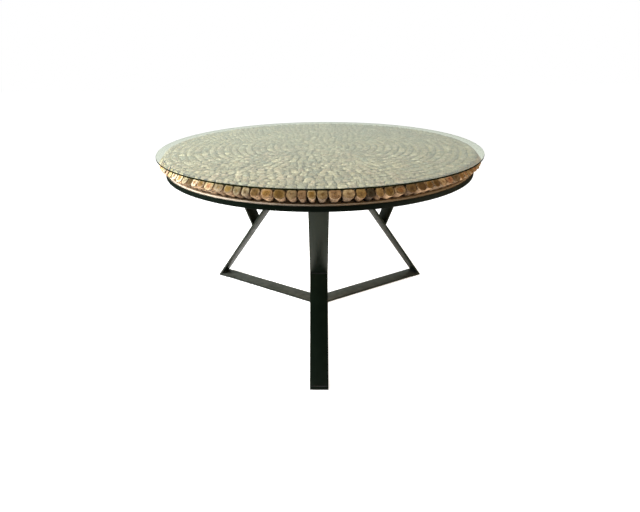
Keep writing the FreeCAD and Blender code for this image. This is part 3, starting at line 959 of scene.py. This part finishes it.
def dressed(node, slot, material, edge_round=EDGE_ROUND):
    """A CAD node's shape with softened long edges, which are marked as rubbed."""
    shape = bmesh.new()
    shape.from_mesh(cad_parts[node].data)
    rubbed = shape.faces.layers.float.new("rubbed")
    bmesh.ops.remove_doubles(shape, verts=shape.verts, dist=CORNER_MERGE)
    bmesh.ops.dissolve_limit(
        shape, angle_limit=math.radians(ONE_FACE), verts=shape.verts, edges=shape.edges
    )
    edges = [
        edge
        for edge in shape.edges
        if edge.calc_length() > LONG_EDGE and edge.calc_face_angle(0) > math.radians(ROUNDED_EDGE)
    ]
    made = bmesh.ops.bevel(
        shape, geom=edges, offset=edge_round, segments=2, profile=0.5, affect="EDGES"
    )
    for face in made["faces"]:
        face[rubbed] = 1.0
    mesh = bpy.data.meshes.new(f"{node}_shape")
    shape.to_mesh(mesh)
    shape.free()
    mesh.materials.clear()
    mesh.materials.append(material)
    mesh.polygons.foreach_set("material_index", [0] * len(mesh.polygons))
    mesh.polygons.foreach_set("use_smooth", [True] * len(mesh.polygons))
    mesh.set_sharp_from_angle(angle=math.radians(SHARP_EDGE))
    piece = bpy.data.objects.new(f"{node}_shape", mesh)
    bpy.context.scene.collection.objects.link(piece)
    return fit(piece, slot, node)


def iron_hoop():
    """Flat bar rolled into a ring, with softened edges."""
    corners = (
        (hoop_bore, hoop_low),
        (hoop_radius, hoop_low),
        (hoop_radius, hoop_high),
        (hoop_bore, hoop_high),
    )
    path = rounded(corners, EDGE_ROUND)
    path.append(path[0])
    vertices, faces = lathe(path, GLASS_SIDES)
    piece = mesh_object("iron_hoop", vertices, faces, (hoop_iron,))
    shape = bmesh.new()
    shape.from_mesh(piece.data)
    bmesh.ops.remove_doubles(shape, verts=shape.verts, dist=CORNER_MERGE)
    shape.to_mesh(piece.data)
    shape.free()
    return fit(piece, "iron", "rim_hoop")


for leg in LEGS:
    for part in ("top_rail", "leg_bar", "leg_brace", "floor_bar"):
        dressed(f"{part}_{leg}", "iron", black_iron)
    dressed(f"foot_pad_{leg}", "foot_pad", rubber, PAD_EDGE_ROUND)
iron_hoop()

BEAD_RADIUS, BEAD_STEP, BEAD_SIDES = 2.2 * MM, 1.3 * MM, 10
# Ripples and unevenness as shares of a bead's radius, and how quickly it tapers at its ends
RIPPLE_SHARE, UNEVEN_SHARE = 0.10, 0.06
RUN_OUT, TIP_SHARE = 6, 0.02


def weld(start, end, points, faces):
    """A rippled bead along a joint, from one end of it to the other."""
    run = end - start
    count = int(np.linalg.norm(run) / BEAD_STEP)
    across = unit(np.cross(run, (0, 0, 1.0)))
    up = unit(np.cross(across, run))
    turns = 2 * np.pi * np.arange(BEAD_SIDES) / BEAD_SIDES
    base = sum(len(p) for p in points)
    for i in range(count + 1):
        share = i / count
        full = min(1.0, math.sqrt(max(TIP_SHARE, RUN_OUT * min(share, 1 - share))))
        uneven = rng.uniform(-UNEVEN_SHARE, UNEVEN_SHARE)
        radius = BEAD_RADIUS * full * (1 + RIPPLE_SHARE * (i % 2) + uneven)
        centre = start + run * share
        points.append(
            centre + radius * (np.outer(np.cos(turns), across) + np.outer(np.sin(turns), up))
        )
    faces.extend(grid_faces(count + 1, BEAD_SIDES, base))
    faces.append(tuple(base + BEAD_SIDES - 1 - i for i in range(BEAD_SIDES)))
    faces.append(tuple(base + count * BEAD_SIDES + i for i in range(BEAD_SIDES)))


def weld_beads(leg):
    """Beads along every edge where a leg's slanting bars end on another bar."""
    points, faces = [], []
    for part in ("leg_bar", "leg_brace"):
        shape = bmesh.new()
        shape.from_mesh(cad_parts[f"{part}_{leg}"].data)
        bmesh.ops.remove_doubles(shape, verts=shape.verts, dist=CORNER_MERGE)
        bmesh.ops.dissolve_limit(
            shape, angle_limit=math.radians(ONE_FACE), verts=shape.verts, edges=shape.edges
        )
        for edge in shape.edges:
            a, b = (np.array(v.co[:]) for v in edge.verts)
            if abs(a[2] - b[2]) < CORNER_MERGE and abs(np.linalg.norm(a) - np.linalg.norm(b)) < MM:
                inset = unit(b - a) * BEAD_RADIUS
                weld(a + inset, b - inset, points, faces)
        shape.free()
    piece = mesh_object(f"weld_beads_{leg}", np.concatenate(points), faces, (weld_bead,))
    return fit(piece, "iron")


for leg in LEGS:
    weld_beads(leg)


# Screws under the rails

SCREW_SIDES = 48
# The domed head's rise, its upright edge's start and the recess's floor, as shares of its height
DOME_SHARE, HEAD_EDGE_SHARE, RECESS_SHARE = 0.55, 0.72, 0.5
# The shank, the recess's arms and how far they reach and slope, as shares of the head's radius
SHANK_SHARE, ARM_SHARE, REACH_SHARE, SLOPE_SHARE = 0.46, 0.11, 0.52, 0.7
# Where the point begins, as a share of the screw's length
POINT_SHARE = 0.8


def screws():
    """Pan heads with a cross recess, on plain shanks up into the board."""
    points, faces = [], []
    for low, high in islands("board_screws"):
        head = (high[0] - low[0]) / 2
        middle = (low + high) / 2
        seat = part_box("top_rail_front")[0][2] - low[2]
        shank = head * SHANK_SHARE
        tall = high[2] - low[2]
        rows = [(head * s, DOME_SHARE * seat * s ** 3) for s in np.linspace(0.02, 0.92, 16)]
        rows += [(head, HEAD_EDGE_SHARE * seat), (head, seat)]
        rows += [(shank, seat), (shank, POINT_SHARE * tall), (AXIS_GAP, tall)]
        shape, own = lathe(rows, SCREW_SIDES)
        arm = np.minimum(np.abs(shape[:, 0]), np.abs(shape[:, 1]))
        reach = np.maximum(np.abs(shape[:, 0]), np.abs(shape[:, 1]))
        cut = (arm < head * ARM_SHARE) & (reach < head * REACH_SHARE)
        cut &= shape[:, 2] < RECESS_SHARE * seat
        shape[cut, 2] += DOME_SHARE * seat * (1 - reach[cut] / (head * SLOPE_SHARE))
        start = sum(len(p) for p in points)
        points.append(shape + (middle[0], middle[1], low[2]))
        own.append(tuple(SCREW_SIDES - 1 - i for i in range(SCREW_SIDES)))
        faces.extend(tuple(start + i for i in face) for face in own)
    piece = mesh_object("screws", np.concatenate(points), faces, (zinc,), sharp=35)
    return fit(piece, "screw", "board_screws")


screws()
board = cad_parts["backing_board"]
for slot in board.material_slots:
    slot.material = board_layers


# Studio

FLOOR_HALF = 14.0
FLOOR_WHITE = (0.82, 0.82, 0.82)
FLOOR_GLOW = 0.92
# How near the floor a bar must be for the painted contact shadow in the floor's glow
CONTACT_REACH = 0.03
# The sweep's front, left and right ends, and the length over which it darkens there. Its front
# end leads away to the right, and its right end leads away to the front.
SWEEP_FRONT, SWEEP_LEFT, SWEEP_RIGHT, SWEEP_FADE = -1.65, -1.7, 2.0, 0.6
FRONT_SKEW, RIGHT_SKEW = 1.2, 0.6
# How light it is beyond the sweep
BEYOND_SWEEP = 0.02
# The room's light in front and behind, and how much brighter it is on its left side
ROOM_FRONT, ROOM_BACK, ROOM_LEAN = 0.045, 0.50, 0.6
ROOM_HUE = (0.90, 1.0, 0.93)
# How bright the walls are in the glass, which is the only true mirror here
WALL_LIGHT = (0.38, 0.42, 0.39)
# A lamp's power is in watts. mirrored: whether it shows in the iron's shine and in the glass
Lamp = namedtuple("Lamp", "name place size power colour mirrored")
LAMP_WHITE, LAMP_WARM, LAMP_COOL = (1.0, 1.0, 1.0), (1.0, 0.80, 0.54), (0.88, 0.95, 1.0)
LAMPS = (
    Lamp("key_left", (-2.2, -0.75, 2.0), 1.2, 158, LAMP_WHITE, False),
    Lamp("top_fill", (0.3, 0.8, 3.6), 2.4, 2, LAMP_WHITE, True),
    Lamp("low_right", (2.6, -0.9, 1.0), 1.0, 44, LAMP_WARM, False),
    Lamp("low_left", (-2.4, -0.7, 0.6), 1.0, 36, LAMP_COOL, False),
)


def floor_material():
    """White to the eye and through the glass. To other rays it ends in front, as a paper sweep."""
    g = Graph("floor_white")
    seen = g.whiteness(SEEN_BY_BOUNCE)
    white = g.node("ShaderNodeBsdfDiffuse", {"Color": (*FLOOR_WHITE, 1.0)}).outputs[0]
    # Painted contact shadow: the floor's glow dims where a bar stands close
    contact_occlusion = g.node("ShaderNodeAmbientOcclusion", {"Distance": CONTACT_REACH}, samples=8)
    glow_with_painted_shadow = g.ramp(contact_occlusion.outputs["AO"], ((0.0, 0.0), (0.8, FLOOR_GLOW)))
    glow = g.node("ShaderNodeEmission", {"Strength": glow_with_painted_shadow}).outputs[0]
    place = g.parts(g.place())
    ahead = g.math("MULTIPLY_ADD", g.math("MAXIMUM", place["X"], 0.0), FRONT_SKEW, place["Y"])
    aside = g.math("MULTIPLY_ADD", place["Y"], RIGHT_SKEW, place["X"])
    from_front = g.math("SUBTRACT", ahead, SWEEP_FRONT)
    from_left = g.math("SUBTRACT", place["X"], SWEEP_LEFT)
    from_right = g.math("SUBTRACT", SWEEP_RIGHT, aside)
    inside = g.math("MINIMUM", g.math("MINIMUM", from_front, from_left), from_right)
    shades = ((0.0, BEYOND_SWEEP), (1.0, FLOOR_WHITE))
    fading = g.ramp(g.math("DIVIDE", inside, SWEEP_FADE), shades, smooth=True)
    paper = g.node("ShaderNodeBsdfDiffuse", {"Color": fading}).outputs[0]
    bright = g.node("ShaderNodeAddShader", {0: white, 1: glow}).outputs[0]
    mixed = g.node("ShaderNodeMixShader", {0: seen, 1: paper, 2: bright}).outputs[0]
    g.put(g.output.inputs["Surface"], mixed)
    return g.owner


def surroundings():
    """White to the eye. To other rays bright behind the table and dark behind the camera, but
    the glass mirrors bright walls on all sides."""
    g = Graph("studio", world=True)
    way = g.parts(g.node("ShaderNodeTexCoord").outputs["Generated"])
    behind = g.math("MULTIPLY_ADD", way["Y"], 0.5, 0.5)
    front, back = (tuple(light * share for share in ROOM_HUE) for light in (ROOM_FRONT, ROOM_BACK))
    shade = g.ramp(behind, ((0.0, front), (0.45, front), (1.0, back)), smooth=True)
    low_wall = g.ramp(way["Z"], ((0.5, 1.0), (0.7, 0.0)))
    mirrored = g.math("MULTIPLY", g.node("ShaderNodeLightPath").outputs["Is Singular Ray"], low_wall)
    shade = g.mix(mirrored, shade, g.mix(1.0, shade, WALL_LIGHT, "LIGHTEN"))
    lean = g.math("MULTIPLY_ADD", way["X"], -ROOM_LEAN, 1.0)
    room = g.node("ShaderNodeBackground", {"Color": shade, "Strength": lean}).outputs[0]
    white = g.node("ShaderNodeBackground", {"Color": (1.0, 1.0, 1.0, 1.0)}).outputs[0]
    mixed = g.node("ShaderNodeMixShader", {0: g.whiteness(), 1: room, 2: white}).outputs[0]
    g.put(g.output.inputs["Surface"], mixed)
    return g.owner


def soft_box(lamp):
    """A square area light that faces the table."""
    light = bpy.data.lights.new(lamp.name, "AREA")
    light.shape = "SQUARE"
    light.size = lamp.size
    light.energy = lamp.power
    light.color = lamp.colour
    box = bpy.data.objects.new(lamp.name, light)
    box.location = lamp.place
    towards = Vector((0, 0, glass_low)) - Vector(lamp.place)
    box.rotation_euler = towards.to_track_quat("-Z", "Y").to_euler()
    box.visible_camera = False
    box.visible_glossy = lamp.mirrored
    box.visible_transmission = lamp.mirrored
    bpy.context.scene.collection.objects.link(box)


def studio():
    """White floor, white surroundings and soft light, stronger from the left."""
    scene = bpy.context.scene
    scene.view_settings.view_transform = "Standard"
    mesh = bpy.data.meshes.new("floor")
    corners = [(x * FLOOR_HALF, y * FLOOR_HALF, 0) for x, y in ((-1, -1), (1, -1), (1, 1), (-1, 1))]
    mesh.from_pydata(corners, [], [(0, 1, 2, 3)])
    mesh.materials.append(floor_material())
    floor = bpy.data.objects.new("floor", mesh)
    scene.collection.objects.link(floor)
    scene.world = surroundings()
    for lamp in LAMPS:
        soft_box(lamp)


# The camera's place and its axes: the photograph's outlines fit this view
EYE = (0.002018, -1.82504, 1.10597)
EYE_RIGHT = (0.99970813, 0.02049732, -0.01278706)
EYE_UP = (0.00282192, 0.42659323, 0.90443919)
EYE_BACK = (0.02399345, -0.9042113, 0.42641088)
# In millimetres, and the view's shift as a share of the frame's width
SENSOR_WIDTH, LENS, SHIFT_SHARE = 36, 24.212, 0.01713


def camera():
    """The photograph's view, in a frame of 640 by 512."""
    data = bpy.data.cameras.new("camera")
    data.sensor_width = SENSOR_WIDTH
    data.lens = LENS
    data.shift_x = SHIFT_SHARE
    eye = bpy.data.objects.new("camera", data)
    turn = Matrix((EYE_RIGHT, EYE_UP, EYE_BACK)).transposed().to_4x4()
    eye.matrix_world = Matrix.Translation(EYE) @ turn
    bpy.context.scene.collection.objects.link(eye)
    bpy.context.scene.camera = eye


studio()
camera()
